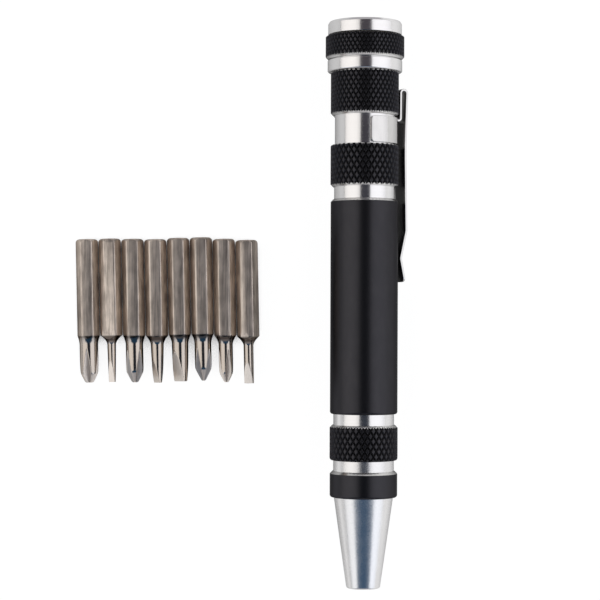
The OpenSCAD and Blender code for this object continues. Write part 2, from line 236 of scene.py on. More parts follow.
def outline(corners):
    """Outline through corners of radius, station and rounding.

    Each long side gets a point near each of its ends, so that its shading stays flat up to there.
    """
    corners = np.array(corners, float)
    spots = corners[:, :2]
    runs = [
        corner_arc(before, spot, after, rounding) if rounding else spot[None]
        for before, spot, after, rounding
        in zip(np.roll(spots, 1, axis=0), spots, np.roll(spots, -1, axis=0), corners[:, 2])
    ]
    points = np.concatenate(runs)
    side = np.diff(points, axis=0)
    length = np.linalg.norm(side, axis=1, keepdims=True)
    inset = np.where(length > LONG_SIDE, EDGE / np.maximum(length, EDGE), 0) * side
    rows = np.stack([points[:-1], points[:-1] + inset, points[1:] - inset], axis=1).reshape(-1, 2)
    rows = np.concatenate([rows, points[-1:]])
    moved = np.linalg.norm(np.diff(rows, axis=0), axis=1) > SAME_SPOT
    return rows[np.concatenate([[True], moved])]


def turned(node, rows, finish, closed, cut_back=0):
    """Piece turned on a lathe: rows of radius and station go round, cut back by a depth."""
    points = polar(rows[:, :1] - cut_back, angles(AROUND), rows[:, 1:])
    show(node, closed_mesh(node, points, grid_faces(len(rows), AROUND, closed)), finish)


def edge_drop(distance, size, rounded):
    """How far an edge lies below its face at a distance from the end.

    With s the share of the edge's size that is left up to the end, a quarter round drops by
    1 - sqrt(1 - s * s) of its size, and a chamfer by s.
    """
    share = np.clip(1 - distance / size, 0, 1)
    return size * (1 - np.sqrt(1 - share ** 2) if rounded else share)


# Threads

THREAD_PITCH = 0.75
THREAD_DEPTH = 0.3
# Rows of points in one pitch
THREAD_ROWS = 12
# Share of half a pitch that is flank, the rest being crest and root
FLANK_SHARE = 0.7


def thread_rows(radius, first, last):
    """Corners of a plain stretch, close enough together to carry a thread."""
    count = int(abs(last - first) / THREAD_PITCH * THREAD_ROWS)
    return [(radius, station, 0) for station in np.linspace(first, last, count)]


def thread_depth(rows, first, last):
    """Depth of a right-hand thread at each row and angle.

    The phase is station / pitch less the share of a turn. The depth is a clipped triangle wave of
    it, which fades in and out over one pitch at the ends of the stretch.
    """
    station = rows[:, 1:]
    phase = (station / THREAD_PITCH - angles(AROUND) / TURN) % 1
    wave = np.clip((abs(2 * phase - 1) - (1 - FLANK_SHARE) / 2) / FLANK_SHARE, 0, 1)
    fade = ease((station - first) / THREAD_PITCH) * ease((last - station) / THREAD_PITCH)
    return THREAD_DEPTH * wave * fade


# Black rings, plain and knurled

# Gap between a ring and the core that it is bonded to
BOND_GAP = 0.02
# A ring's edge: how far it is set back, its size, and whether it was cut through the black skin
BACK_CUT = (0.26, 0.5, True)
BRIGHT_CUT = (0, 0.5, True)
THIN_CUT = (0, 0.2, True)
BLACK_ROUND = (0, 0.5, False)
FINE_ROUND = (0, 0.15, False)
# Rows of points along one tooth of the knurl, an even number
TOOTH_STEPS = 24
# Size of a coarse tooth along the handle and round it, and how far it stands out
TOOTH_LENGTH = 1.93
TOOTH_WIDTH = 1.15
KNURL_DEPTH = 0.36
# Sizes of the knurls against the coarse one
COARSE, MEDIUM, CLOSE = 1, 0.86, 0.75
# Steps from a groove up to the flat of a tooth
FLANK_STEPS = 5
# How deep below the black skin a bare bore counts as, and how thick the skin is
BARE_DEPTH = 0.1
SKIN = 0.012


def ring_span(node, nose_edge, tail_edge):
    """First and last station of a ring whose edges are set back."""
    first, last = span(node)
    return first + nose_edge[0], last - tail_edge[0]


def ring_edges(station, first, last, nose_edge, tail_edge):
    """Drop of a ring's edges at a station, and how much of it is a cut through the black skin."""
    _, nose_size, nose_bare = nose_edge
    _, tail_size, tail_bare = tail_edge
    nose = edge_drop(station - first, nose_size, not nose_bare)
    tail = edge_drop(last - station, tail_size, not tail_bare)
    return np.maximum(nose, tail), np.maximum(nose * nose_bare, tail * tail_bare)


def ring_points(outer, angle, station, bore, crest, cut):
    """Points of a ring's outer rows and of the two rows of its bore, with their values.

    The values say how near a point is to the knurl's crest, and how deep it lies below the black
    skin. A bore's edge is as bare as the outer edge beside it.
    """
    station = np.broadcast_to(station, outer.shape)
    around = np.full((2, outer.shape[1]), bore)
    ends = [-1, 0]
    radius = np.concatenate([outer, around])
    points = polar(radius, angle, np.concatenate([station, station[ends]]))
    values = {
        "crest": np.concatenate([crest, np.ones(around.shape)]),
        "cut": np.concatenate([cut, np.where(cut[ends] > 0, BARE_DEPTH, -BARE_DEPTH)]),
    }
    return points, values


def plain_ring(node, bore, finish, nose_edge, tail_edge):
    """Ring with a smooth outside: its outer radius less the drop of its edges."""
    first, last = ring_span(node, nose_edge, tail_edge)
    near = np.append(np.linspace(0, 1, 2 * ARC_STEPS), 1 + EDGE)
    station = np.append(first + near * nose_edge[1], (last - near * tail_edge[1])[::-1])[:, None]
    drop, cut = ring_edges(station, first, last, nose_edge, tail_edge)
    outer = np.repeat(outer_radius(node) - drop, AROUND, axis=1)
    bare = np.repeat(cut - SKIN, AROUND, axis=1)
    points, values = ring_points(outer, angles(AROUND), station, bore, np.ones(outer.shape), bare)
    show(node, closed_mesh(node, points, grid_faces(len(points), AROUND, True), values), finish)


def knurled_ring(node, bore, finish, nose_edge, tail_edge, size):
    """Ring with a diamond knurl between two families of helical grooves.

    With i counting half steps round and j rows along, grooves lie where i + j or i - j is a
    multiple of a tooth. The radius rises steadily from the nearest groove up to the crest's flat.
    The cuts at the ends go through crests, and through grooves where they are deep.
    """
    first, last = ring_span(node, nose_edge, tail_edge)
    outside = outer_radius(node)
    teeth = round(TURN * outside / (TOOTH_WIDTH * size))
    rows = 2 * round((last - first) / (TOOTH_LENGTH * size) * TOOTH_STEPS / 2)
    columns = teeth * TOOTH_STEPS // 2
    row = np.arange(rows + 2)[:, None]
    step = 2 * np.arange(columns) + row % 2
    angle = step * TURN / (teeth * TOOTH_STEPS)
    row, step = row[:rows], step[:rows]
    rising, falling = (step + row) % TOOTH_STEPS, (step - row) % TOOTH_STEPS
    away = [rising, TOOTH_STEPS - rising, falling, TOOTH_STEPS - falling]
    crest = np.minimum(np.minimum.reduce(away) / FLANK_STEPS, 1)
    station = first + (last - first) * row / (rows - 1)
    drop, cut = ring_edges(station, first, last, nose_edge, tail_edge)
    knurl = outside - KNURL_DEPTH * size * (1 - crest)
    outer = np.minimum(knurl, outside - drop)
    bare = np.where(cut > 0, knurl - (outside - cut), -BARE_DEPTH) - SKIN
    points, values = ring_points(outer, angle, station, bore, crest, bare)
    show(node, closed_mesh(node, points, staggered_faces(rows + 2, columns), values), finish)


# Bright turned pieces, with sizes that the CAD has too

HEX_FLATS = 3.96
SOCKET_FLATS = 4.04
SOCKET_LEAD = 0.25
MAGNET_SEAT_RADIUS = 1.87
NOSE_WALL = 0.9
NOSE_EDGE = 0.4
NOSE_STEP = 0.15
MAGAZINE_RADIUS = 5.2
CLIP_SEAT_RADIUS = 5.74
SPIGOT_CLEAR = 0.05
SPIGOT_WALL = 1.3
# Length of the thread in the magazine's mouth
MOUTH_THREAD = 5.6
SEAT_GAP = 0.05
RING_LEDGE = 0.55
SKIRT_ROUND = 0.3
WEB = 3.5
STEM_RADIUS = 1.5
STEM_BORE = 1.53
STEM_GROOVE = 0.4
WASHER_BORE = 1.6
FACE_GAP = 0.02
TOP_CHAMFER = 0.25
TOP_CHAMFER_LENGTH = 0.45
# Rounding of edges that were only broken
FINE = 0.08


def hexagon(angle, across_flats):
    """Radius of a hexagon with a flat on top.

    It is half the width across flats over the cosine of the angle from the nearest flat's middle.
    """
    sixth = TURN / 6
    return across_flats / 2 / np.cos((angle + sixth / 2) % sixth - sixth / 2)


def nose_piece(finish):
    """Nose cone, front core and threaded spigot, with a hexagon socket down to the magnet's seat.

    The rows start in the middle of the seat, run out along the socket and back over the outside.
    """
    tip, end = span("nose_piece")
    socket_end, seat_end = span("socket_magnet")
    cone_end, joint = span("front_ring")[0], span("core_tube")[0]
    core = outer_radius("core_tube")
    corner = SOCKET_FLATS / np.sqrt(3)
    crest = MAGAZINE_RADIUS - SPIGOT_CLEAR
    seat = outline([
        (0, seat_end, 0), (MAGNET_SEAT_RADIUS, seat_end, 0), (MAGNET_SEAT_RADIUS, socket_end, 0),
    ])
    socket = outline([(corner, socket_end, 0), (corner, tip + SOCKET_LEAD, 0)])
    outside = outline([
        (corner, tip + SOCKET_LEAD, 0), (corner + SOCKET_LEAD, tip, 0),
        (corner + NOSE_WALL, tip, NOSE_EDGE), (core - NOSE_STEP, cone_end, 0),
        (core, cone_end, 0), (core, joint, FINE),
        *thread_rows(crest, joint, end - THREAD_DEPTH),
        (crest - THREAD_DEPTH, end, 0), (0, end, 0),
    ])
    rows = np.concatenate([seat, socket, outside])
    row = np.arange(len(rows))[:, None]
    in_socket = (row >= len(seat)) & (row < len(seat) + len(socket))
    flats = corner - hexagon(angles(AROUND), SOCKET_FLATS)
    turned("nose_piece", rows, finish, False, in_socket * flats + thread_depth(rows, joint, end))


def core_tube(finish):
    """Tube with the clip's seat round it, and the plug's thread cut into the mouth of its bore."""
    first, last = span("core_tube")
    seat_first, seat_last = span("rear_grip")[1], span("upper_grip")[0]
    outside = outer_radius("core_tube")
    thread_end = last - MOUTH_THREAD
    rows = outline([
        (MAGAZINE_RADIUS, first, 0), (outside, first, FINE),
        (outside, seat_first, 0), (CLIP_SEAT_RADIUS, seat_first, 0),
        (CLIP_SEAT_RADIUS, seat_last, 0), (outside, seat_last, 0),
        (outside, last, FINE), (MAGAZINE_RADIUS, last, FINE),
        *thread_rows(MAGAZINE_RADIUS, last - EDGE, thread_end),
        (MAGAZINE_RADIUS, first + EDGE, 0),
    ])
    in_bore = rows[:, :1] <= MAGAZINE_RADIUS
    turned("core_tube", rows, finish, True, in_bore * -thread_depth(rows, thread_end, last))


def tail_plug(finish):
    """Hollow threaded spigot, skirt, seat of the wide ring and the web that the stem turns in."""
    first, last = span("tail_plug")
    skirt, ledge = span("core_tube")[1] + SEAT_GAP, span("plug_grip")[0]
    outside = outer_radius("tail_plug")
    crest = MAGAZINE_RADIUS - SPIGOT_CLEAR
    rows = outline([
        (crest - SPIGOT_WALL, last - WEB, 0), (crest - SPIGOT_WALL, first, FINE),
        (crest - THREAD_DEPTH, first, FINE),
        *thread_rows(crest, first + THREAD_DEPTH, skirt),
        (outside, skirt, SKIRT_ROUND), (outside, ledge, FINE),
        (outside - RING_LEDGE, ledge, 0), (outside - RING_LEDGE, last, FINE),
        (STEM_BORE, last, FINE), (STEM_BORE, last - WEB, 0),
    ])
    on_spigot = (rows[:, :1] > crest - EDGE) & (rows[:, 1:] < skirt)
    depth = thread_depth(rows, first - THREAD_PITCH, skirt)
    turned("tail_plug", rows, finish, True, on_spigot * depth)


def swivel_top(finish):
    """Disc under the finger with the grooved stem that turns in the plug."""
    first, last = span("swivel_top")
    outside = outer_radius("swivel_top")
    ring_first, ring_last = span("retaining_ring")
    disc = span("thrust_washer")[1] + FACE_GAP
    neck = STEM_RADIUS - STEM_GROOVE
    rows = outline([
        (0, first, 0), (STEM_RADIUS, first, FINE),
        (STEM_RADIUS, ring_first - FACE_GAP, 0), (neck, ring_first - FACE_GAP, 0),
        (neck, ring_last + FACE_GAP, 0), (STEM_RADIUS, ring_last + FACE_GAP, 0),
        (STEM_RADIUS, disc, FINE), (outside, disc, FINE),
        (outside, last - TOP_CHAMFER_LENGTH, FINE), (outside - TOP_CHAMFER, last, FINE),
        (0, last, 0),
    ])
    turned("swivel_top", rows, finish, False)


def flat_disc(node, finish, bore=0):
    """Disc or washer with broken edges."""
    first, last = span(node)
    outside = outer_radius(node)
    inner = FINE if bore else 0
    turned(node, outline([
        (bore, first, inner), (outside, first, FINE), (outside, last, FINE), (bore, last, inner),
    ]), finish, bore > 0)


# Pocket clip

STRIP = 0.42
STRIP_WIDTH = 4
BAND_RADIUS = 6.15
BAND_WRAP = np.radians(216)
BAND_SIDE_CLEAR = 0.2
BAND_CORNER = 0.75
# Width of the relief notch on each side of the tongue's root
NOTCH = 0.3
# Radius of the two bends at the tongue's root
JOG = 0.36
# Length over which the tongue loses the band's curve
FLATTEN = 1.6
# Distance from the tongue to the arm, and the radius of the fold between them
ARM_GAP = 1.36
FOLD_RADIUS = 0.653
# Arm: its length up to the knee, how far and where its waist bows in, and the bow's radius
ARM_LENGTH = 27.3
ARM_BOW = 0.34
WAIST_SHARE = 0.44
BOW_RADIUS = 81.9
# Knee, heel and tip: their offsets, lengths along the handle and bends
KNEE_INSET = 0.08
KNEE_RADIUS = 1.325
HEEL_RUN = 5.3
HEEL_CLEAR = 0.3
HEEL_RADIUS = 1.365
TIP_RUN = 4.55
TIP_FLARE = 0.95
TIP_CORNER = 1
STRIP_BEVEL = 0.07
BEVEL_STEPS = 3
# Angle between faces from which their edge is broken
BEVEL_ANGLE = np.radians(60)
# Columns of points across the band on each side of the tongue, and across the tongue
SIDE_COLUMNS = 40
TONGUE_COLUMNS = 17
# Rows of points in a rounded corner, and along the band between its corners
CORNER_ROWS = 6
BAND_ROWS = 8
# Where the strip would start to follow the arm, seen from the fold's middle, and over which width; the
# clip works out the ends of this stretch but uses them for nothing
BLEND_INSET = 0.47
BLEND_DROP = 0.26
BLEND_WIDTH = 0.94
BLEND_SLOPE = 0.07


class ClipFrame:
    """The clip's own directions: out from the axis through the strip, and across the strip."""

    def __init__(self):
        hinge = next(joint for joint in frame["joints"] if joint["name"] == "clip_flex")
        middle = np.array(hinge["pos_m"]) / MM
        self.across = unit(np.array(hinge["axis"], float))
        self.out = np.cross([0, 1, 0], self.across)
        self.fold = np.array([middle @ self.out, middle[1]])

    def place(self, out, across, station):
        """Points in metres at distances out and across, at a station."""
        out, across, station = (
            number[..., None] for number in np.broadcast_arrays(out, across, station)
        )
        return (out * self.out + across * self.across + station * np.array([0, 1, 0])) * MM


def strip_path(fold):
    """Middle line of the tongue, fold, arm, heel and tip, as radius and station."""
    (tongue, arm), top = fold[0] + np.array([-ARM_GAP, ARM_GAP]) / 2, fold[1] + ARM_GAP / 2
    knee = top - ARM_LENGTH
    heel = knee - HEEL_RUN
    heel_radius = outer_radius("barrel_sleeve") + HEEL_CLEAR + STRIP / 2
    jog = span("upper_grip")[0] - BAND_SIDE_CLEAR - STRIP / 2
    return outline([
        (BAND_RADIUS, jog - JOG, 0), (BAND_RADIUS, jog, JOG), (tongue, jog, JOG),
        (tongue, top, FOLD_RADIUS), (arm, top, FOLD_RADIUS),
        (arm - ARM_BOW, top - ARM_LENGTH * WAIST_SHARE, BOW_RADIUS),
        (arm - KNEE_INSET, knee, KNEE_RADIUS),
        (heel_radius, heel, HEEL_RADIUS), (heel_radius + TIP_FLARE, heel - TIP_RUN, 0),
    ])


def round_corner(beside, before, radius):
    """Draws a sheet's corner in to a round, given each point's distances from its two edges.

    In the square between the corner and the round's centre, a point keeps its direction from that
    centre, and its distance becomes the larger of its two offsets.
    """
    across, along = np.clip(radius - beside, 0, None), np.clip(radius - before, 0, None)
    share = np.maximum(across, along) / np.maximum(np.hypot(across, along), MERGE)
    share = np.where((across > 0) & (along > 0), share, 1)
    return beside + across * (1 - share), before + along * (1 - share)


def sheet_faces(index):
    """Quads between neighbouring rows and columns of point numbers."""
    corners = [index[:-1, :-1], index[:-1, 1:], index[1:, 1:], index[1:, :-1]]
    return np.stack(corners, axis=-1).reshape(-1, 4)


def band_sheet(clip, root):
    """Middle surface of the band, a stretch of cylinder with rounded corners.

    Columns are lengths round the band, close together at its ends and across the tongue's root.
    """
    low, high = span("rear_grip")[1] + BAND_SIDE_CLEAR, span("upper_grip")[0] - BAND_SIDE_CLEAR
    reach = BAND_RADIUS * BAND_WRAP / 2
    side = np.linspace(STRIP_WIDTH / 2 + NOTCH, reach, SIDE_COLUMNS)
    tongue = np.linspace(-STRIP_WIDTH / 2, STRIP_WIDTH / 2, TONGUE_COLUMNS)
    arc = np.concatenate([-side[::-1], BAND_RADIUS * np.arcsin(tongue / BAND_RADIUS), side])
    station = np.concatenate([
        low + np.linspace(0, BAND_CORNER, CORNER_ROWS),
        np.linspace(low + BAND_CORNER, root, BAND_ROWS)[1:],
        np.linspace(root, high, CORNER_ROWS)[1:],
    ])[:, None]
    arc, station = np.broadcast_arrays(arc, station)
    nearer_low = station - low < high - station
    beside, before = round_corner(
        reach - abs(arc), np.where(nearer_low, station - low, high - station), BAND_CORNER
    )
    angle = np.sign(arc) * (reach - beside) / BAND_RADIUS
    station = np.where(nearer_low, low + before, high - before)
    return clip.place(BAND_RADIUS * np.cos(angle), BAND_RADIUS * np.sin(angle), station)


def strip_sheet(clip, path):
    """Middle surface of the strip: its width carried along the path.

    Its corners are rounded at the tip, and the band's curve flattens out over the first stretch.
    """
    steps = np.linalg.norm(np.diff(path, axis=0), axis=1)
    stops = np.append(0, np.cumsum(steps))
    end = stops[-1]
    travelled = np.union1d(stops, end - np.linspace(0, TIP_CORNER, CORNER_ROWS))[:, None]
    half = STRIP_WIDTH / 2
    across = np.linspace(-half, half, TONGUE_COLUMNS)
    edges = np.broadcast_arrays(half - abs(across), end - travelled)
    beside, left = round_corner(*edges, TIP_CORNER)
    across, travelled = np.sign(across) * (half - beside), end - left
    sag = BAND_RADIUS - np.sqrt(BAND_RADIUS ** 2 - across ** 2)
    radius = np.interp(travelled, stops, path[:, 0]) - sag * (1 - ease(travelled / FLATTEN))
    return clip.place(radius, across, np.interp(travelled, stops, path[:, 1]))


def pocket_clip(finish):
    """Clip of one sprung strip, a band with a tongue that folds back as the arm.

    The strip's first row is a row of the band between two notches. The sheet then gets the strip's
    thickness and softly broken edges.
    """
    clip = ClipFrame()
    path = strip_path(clip.fold)
    band = band_sheet(clip, path[0, 1])
    strip = strip_sheet(clip, path)
    root = CORNER_ROWS + BAND_ROWS - 2
    band_index = np.arange(band[..., 0].size).reshape(band.shape[:2])
    strip_index = band_index.size + np.arange(strip[..., 0].size).reshape(strip.shape[:2])
    strip_index[0] = band_index[root, SIDE_COLUMNS:-SIDE_COLUMNS]
    faces = np.concatenate([sheet_faces(index) for index in (
        band_index[:root + 1], strip_index,
        band_index[root:, :SIDE_COLUMNS], band_index[root:, -SIDE_COLUMNS:],
    )])
    points = np.concatenate([band.reshape(-1, 3), strip.reshape(-1, 3)])
    used, faces = np.unique(faces, return_inverse=True)

    sheet = new_mesh("pocket_clip", points[used], faces.reshape(-1, 4))
    piece = new_piece("pocket_clip", thickened(sheet), finish, "clip_band", "clip_arm")
    start = clip.fold - [BLEND_INSET, BLEND_DROP]
    slope = np.array([1, -BLEND_SLOPE])
    end = start + BLEND_WIDTH * slope / (slope @ slope)
    tuple(clip.place(start[0], 0, start[1]))
    tuple(clip.place(end[0], 0, end[1]))
    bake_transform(piece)


def thickened(sheet):
    """Mesh of a sheet that is given the strip's thickness and broken edges."""
    blank = new_object("blank", sheet)
    thickness = blank.modifiers.new("thickness", "SOLIDIFY")
    thickness.thickness = STRIP * MM
    thickness.offset = 0
    thickness.use_even_offset = True
    edges = blank.modifiers.new("edges", "BEVEL")
    edges.width = STRIP_BEVEL * MM
    edges.segments = BEVEL_STEPS
    edges.limit_method = "ANGLE"
    edges.angle_limit = BEVEL_ANGLE
    edges.use_clamp_overlap = False
    graph = bpy.context.evaluated_depsgraph_get()
    mesh = bpy.data.meshes.new_from_object(blank.evaluated_get(graph))
    bpy.data.objects.remove(blank)
    return smoothed(mesh, False)


# Bits

BIT_LENGTH = 28
SHAFT_LENGTH = 7.4
NECK_LENGTH = 1.8
NECK_END = SHAFT_LENGTH + NECK_LENGTH
# Radius that the shank's corners are turned to
SHANK_RADIUS = 2.195
SHANK_ROUND = 0.7
BIT_LEAN = np.radians(1.35)
# Distance from a bit's middle to the middle of its widest stretch
SHANK_MIDDLE = 4.35
# How far the shank's flats curve back from a true hexagon at its corners
SHANK_CROWN = 0.05
# Depth of the neck's curve from which it is fully dark, partly dull steel and partly painted shade in the hollow
DARK_NECK = 0.35
# How finely a cross-head bit's flutes and cone are ground against a slotted bit's flats
FLUTE_GROUND = 0.6
# How steeply a cross-head tip narrows, and the length over which a slotted bit does
CROSS_SLOPE = np.tan(np.radians(28))
BLADE_TAPER = 7
BLADE_SHARE = 0.25
FLUTE_ROOT_SHARE = 0.35
# Radius that stands for no cut at all
UNCUT = 2 * SHANK_RADIUS
# Power of the neck's hollow curve
NECK_POWER = 1.7
# Roundness of a bit's ground edges, of a cross-head tip's shoulder, and of the two kinds of tip
GROUND_EDGE = 0.03
SHOULDER = 0.2
CROSS_EDGE = 0.26
BLADE_EDGE = 0.1
# Step between rows of points at the tip and in the neck
TIP_STEP = 0.1
NECK_STEP = 0.06

# Each bit's shaft over its flats, tip width over its shaft, turn about its own axis in degrees, and
# length of its ground flutes or flats
BITS = {
    "bit_1_cross": (0.91, 0.46, 37, 6.9),
    "bit_2_slot": (0.43, 0.78, -20, 4.8),
    "bit_3_cross": (0.86, 0.35, -4, 6.7),
    "bit_4_slot": (0.64, 0.76, -50, 5),
    "bit_5_slot": (0.82, 0.89, -42, 6),
    "bit_6_cross": (0.83, 0.23, 6, 6.7),
    "bit_7_cross": (0.70, 0.31, -21, 6.7),
    "bit_8_slot": (0.49, 0.97, -20, 4.2),
}


def soft_min(one, other, rounding=GROUND_EDGE):
    """Smaller of two radii, rounded where they meet.

    It is half of their sum less the root of their squared difference plus the squared rounding.
    """
    return (one + other - np.hypot(one - other, rounding)) / 2


def fluted(shaft, tip, angle, share):
    """Radius left by four right-angled grooves, which rise from the tip to the shaft's surface.

    A groove whose root lies at a distance d leaves d / (cos - |sin|) of the angle from its middle.
    """
    quarter = TURN / 4
    off = (angle - 3 * TURN / 8 + quarter / 2) % quarter - quarter / 2
    root = tip * FLUTE_ROOT_SHARE
    depth = root + (shaft - root) * share
    opening = np.cos(off) - np.hypot(np.sin(off), GROUND_EDGE)
    return np.minimum(depth / np.maximum(opening, GROUND_EDGE), UNCUT)


def flattened(shaft, angle, share):
    """Radius left by two flats that close in on the tip: their distance over the angle's |sin|."""
    half = shaft * (BLADE_SHARE + (1 - BLADE_SHARE) * share)
    lean = np.maximum(abs(np.sin(angle - TURN / 4)), GROUND_EDGE)
    return np.minimum(half / lean, UNCUT)


def bit_rows(tip_edge):
    """Lengths from a bit's tip at which it has points, close together where it curves."""
    shank_end = BIT_LENGTH - SHANK_ROUND
    tip_arc = tip_edge * (1 - np.cos(np.linspace(0, TURN / 4, ARC_STEPS)))
    end_arc = SHANK_ROUND * np.sin(np.linspace(0, TURN / 4, 2 * ARC_STEPS))
    return np.concatenate([
        [0], tip_arc,
        np.arange(tip_edge, SHAFT_LENGTH - TIP_STEP / 2, TIP_STEP)[1:], [SHAFT_LENGTH],
        np.arange(SHAFT_LENGTH, NECK_END + NECK_LENGTH / 2, NECK_STEP)[1:],
        [shank_end - EDGE], shank_end + end_arc, [BIT_LENGTH],
    ])[:, None]


def bit_points(node, along, angle, radius):
    """Points of a bit that lies on a flat in its node's place, with its axis leaning aside."""
    low, high = (np.array(corner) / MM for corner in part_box(node))
    away = np.array([-np.sin(BIT_LEAN), np.cos(BIT_LEAN), 0])
    aside = np.array([np.cos(BIT_LEAN), np.sin(BIT_LEAN), 0])
    up = np.array([0, 0, 1])
    centre = (low + high) / 2
    centre[0] -= away[0] * SHANK_MIDDLE
    centre[2] = low[2] + HEX_FLATS / 2
    return (
        centre + (along - BIT_LENGTH / 2)[..., None] * away
        + (radius * np.sin(angle))[..., None] * aside + (radius * np.cos(angle))[..., None] * up
    ) * MM


def bit(node, finish, shaft_share, tip_share, turn, ground_length):
    """Bit with a hexagon shank, a hollow neck, a round shaft and a cross-head or slotted tip.

    The radius at each angle and length is the soft minimum of the turned blank, the shank's
    hexagon, and the tip's flutes or flats.
    """
    cross = "cross" in node
    shaft = shaft_share * HEX_FLATS / 2
    tip = tip_share * shaft
    if cross:
        slope, shoulder, tip_edge = CROSS_SLOPE, SHOULDER, CROSS_EDGE
    else:
        slope, shoulder, tip_edge = (shaft - tip) / BLADE_TAPER, GROUND_EDGE, BLADE_EDGE
    along, angle = bit_rows(tip_edge), angles(AROUND)
    rise = np.clip((along - SHAFT_LENGTH) / NECK_LENGTH, 0, 1) ** NECK_POWER
    neck = rise * (SHANK_RADIUS - shaft)
    cone = tip + along * slope
    flats = hexagon(angle, HEX_FLATS)
    reach = flats ** 2 - (HEX_FLATS / 2) ** 2
    blank = soft_min(shaft, cone, shoulder) + neck
    blank = blank - edge_drop(along, tip_edge, True)
    blank = blank - edge_drop(BIT_LENGTH - along, SHANK_ROUND, True)
    blank = soft_min(blank, flats - SHANK_CROWN * reach / reach.max())
    own_angle, share = angle - np.radians(turn), along / ground_length
    ground = fluted(shaft, tip, own_angle, share) if cross else flattened(shaft, own_angle, share)
    radius = soft_min(blank, ground)
    radius[[0, -1]] = 0
    worked = np.clip((blank - ground) / GROUND_EDGE, 0, 1)
    if cross:
        worked = FLUTE_GROUND * np.maximum(worked, np.clip((shaft - cone) / SHOULDER, 0, 1))
    values = {
        "along": np.broadcast_to(along, radius.shape),
        # How deep the neck's hollow is, which the finish darkens partly with painted shade
        "neck": np.broadcast_to(np.clip(neck / DARK_NECK, 0, 1), radius.shape),
        "ground": worked,
    }
    points = bit_points(node, along, angle, radius)
    show(node, closed_mesh(node, points, grid_faces(len(along), AROUND, False), values), finish)


# Finishes

# Two shades of each finish, which its grain, lines and stains mix
ALUMINIUM = (0.78, 0.77, 0.77, 1), (0.93, 0.92, 0.915, 1)
# Black skin: its first shade, the lighter one, is painted light in the knurl's grooves; the second is the skin on
# crests and plain rings
GROOVE_LIT_BLACK_SKIN = (0.070, 0.068, 0.073, 1), (0.045, 0.044, 0.049, 1)
CUT_METAL = (0.74, 0.73, 0.72, 1), (0.92, 0.91, 0.90, 1)
POLISHED_STRIP = (0.62, 0.61, 0.60, 1), (0.82, 0.81, 0.80, 1)
OILED_STEEL = (0.24, 0.22, 0.20, 1), (0.50, 0.48, 0.46, 1)
DRAWN_SHANK = (0.28, 0.235, 0.205, 1), (0.98, 0.86, 0.75, 1)
BRIGHT_SHAFT = (0.50, 0.44, 0.39, 1), (0.64, 0.575, 0.515, 1)
GROUND_TIP = (0.64, 0.57, 0.51, 1), (0.96, 0.89, 0.82, 1)
# Neck's hollow: dull steel darkened further with painted shade, varied by stains
DULL_SHADED_NECK = (0.09, 0.075, 0.065, 1), (0.17, 0.14, 0.12, 1)
NICKEL = (0.56, 0.53, 0.48, 1), (0.72, 0.69, 0.64, 1)
NYLON = (0.72, 0.70, 0.63, 1), (0.84, 0.83, 0.78, 1)
# Tints that darken black and brown metal where it is seen at a slant
BLACK_TINT = (0.5, 0.5, 0.5, 1)
BROWN_TINT = (0.4, 0.35, 0.32, 1)
# How far light goes under the nylon's surface, by colour, in millimetres
NYLON_DEPTH = (0.6, 0.5, 0.4)
# Where the drawn grain fades in, before and after the neck's end
GRAIN_START, GRAIN_FULL = NECK_END - 0.3, NECK_END + 0.1


class Value:
    """Socket in a finish. Operators on values add Math nodes, and node() adds any other."""

    def __init__(self, tree, socket=None):
        self.tree = tree
        self.socket = socket

    def node(self, kind, settings=None, sockets=None, output=0):
        """Adds a node of a kind: its settings first, then its sockets' values or links."""
        made = self.tree.nodes.new("ShaderNode" + kind)
        for key, setting in (settings or {}).items():
            setattr(made, key, setting)
        for key, given in (sockets or {}).items():
            if isinstance(given, Value):
                self.tree.links.new(given.socket, made.inputs[key])
            else:
                made.inputs[key].default_value = given
        return Value(self.tree, made.outputs[output] if made.outputs else None)

    def math(self, operation, one, other):
        """Adds a Math node."""
        return self.node("Math", {"operation": operation}, {0: one, 1: other})

    def __add__(self, other):
        return self.math("ADD", self, other)

    __radd__ = __add__

    def __sub__(self, other):
        return self.math("SUBTRACT", self, other)

    def __rsub__(self, other):
        return self.math("SUBTRACT", other, self)

    def __mul__(self, other):
        return self.math("MULTIPLY", self, other)

    __rmul__ = __mul__

    def __pow__(self, other):
        return self.math("POWER", self, other)


def mixed(factor, low, high):
    """Colour between two colours."""
    return factor.node("Mix", {"data_type": "RGBA"}, {0: factor, 6: low, 7: high}, 2)


def stepped(number, low, high):
    """Smooth step from 0 to 1 as a number goes from low to high."""
    sockets = {"Value": number, "From Min": low, "From Max": high}
    return number.node("MapRange", {"interpolation_type": "SMOOTHSTEP"}, sockets)


def grain(place, sizes, detail):
    """Noise whose spots have the given sizes in millimetres along the three axes."""
    scale = tuple(1 / (size * MM) for size in sizes)
    stretched = place.node("VectorMath", {"operation": "MULTIPLY"}, {0: place, 1: scale})
    return place.node("TexNoise", {}, {"Vector": stretched, "Scale": 1, "Detail": detail})


def rings(reach, size, detail):
    """Noise in one direction, with lines of a size in millimetres."""
    sockets = {"W": reach, "Scale": 1 / (size * MM), "Detail": detail}
    return reach.node("TexNoise", {"noise_dimensions": "1D"}, sockets)


def bumped(height, depth):
    """Normal of a surface whose height goes from 0 to a depth in millimetres."""
    return height.node("Bump", {}, {"Height": height, "Distance": depth * MM}, "Normal")


def new_finish(name):
    """Empty material, the value that its nodes are added through, and places on the piece."""
    finish = bpy.data.materials.new(name)
    finish.use_nodes = True
    finish.node_tree.nodes.clear()
    nodes = Value(finish.node_tree)
    return finish, nodes, nodes.node("TexCoord", output="Object")


def point_value(nodes, name):
    """Number that a mesh keeps at its points."""
    return nodes.node("Attribute", {"attribute_name": name}, output="Fac")


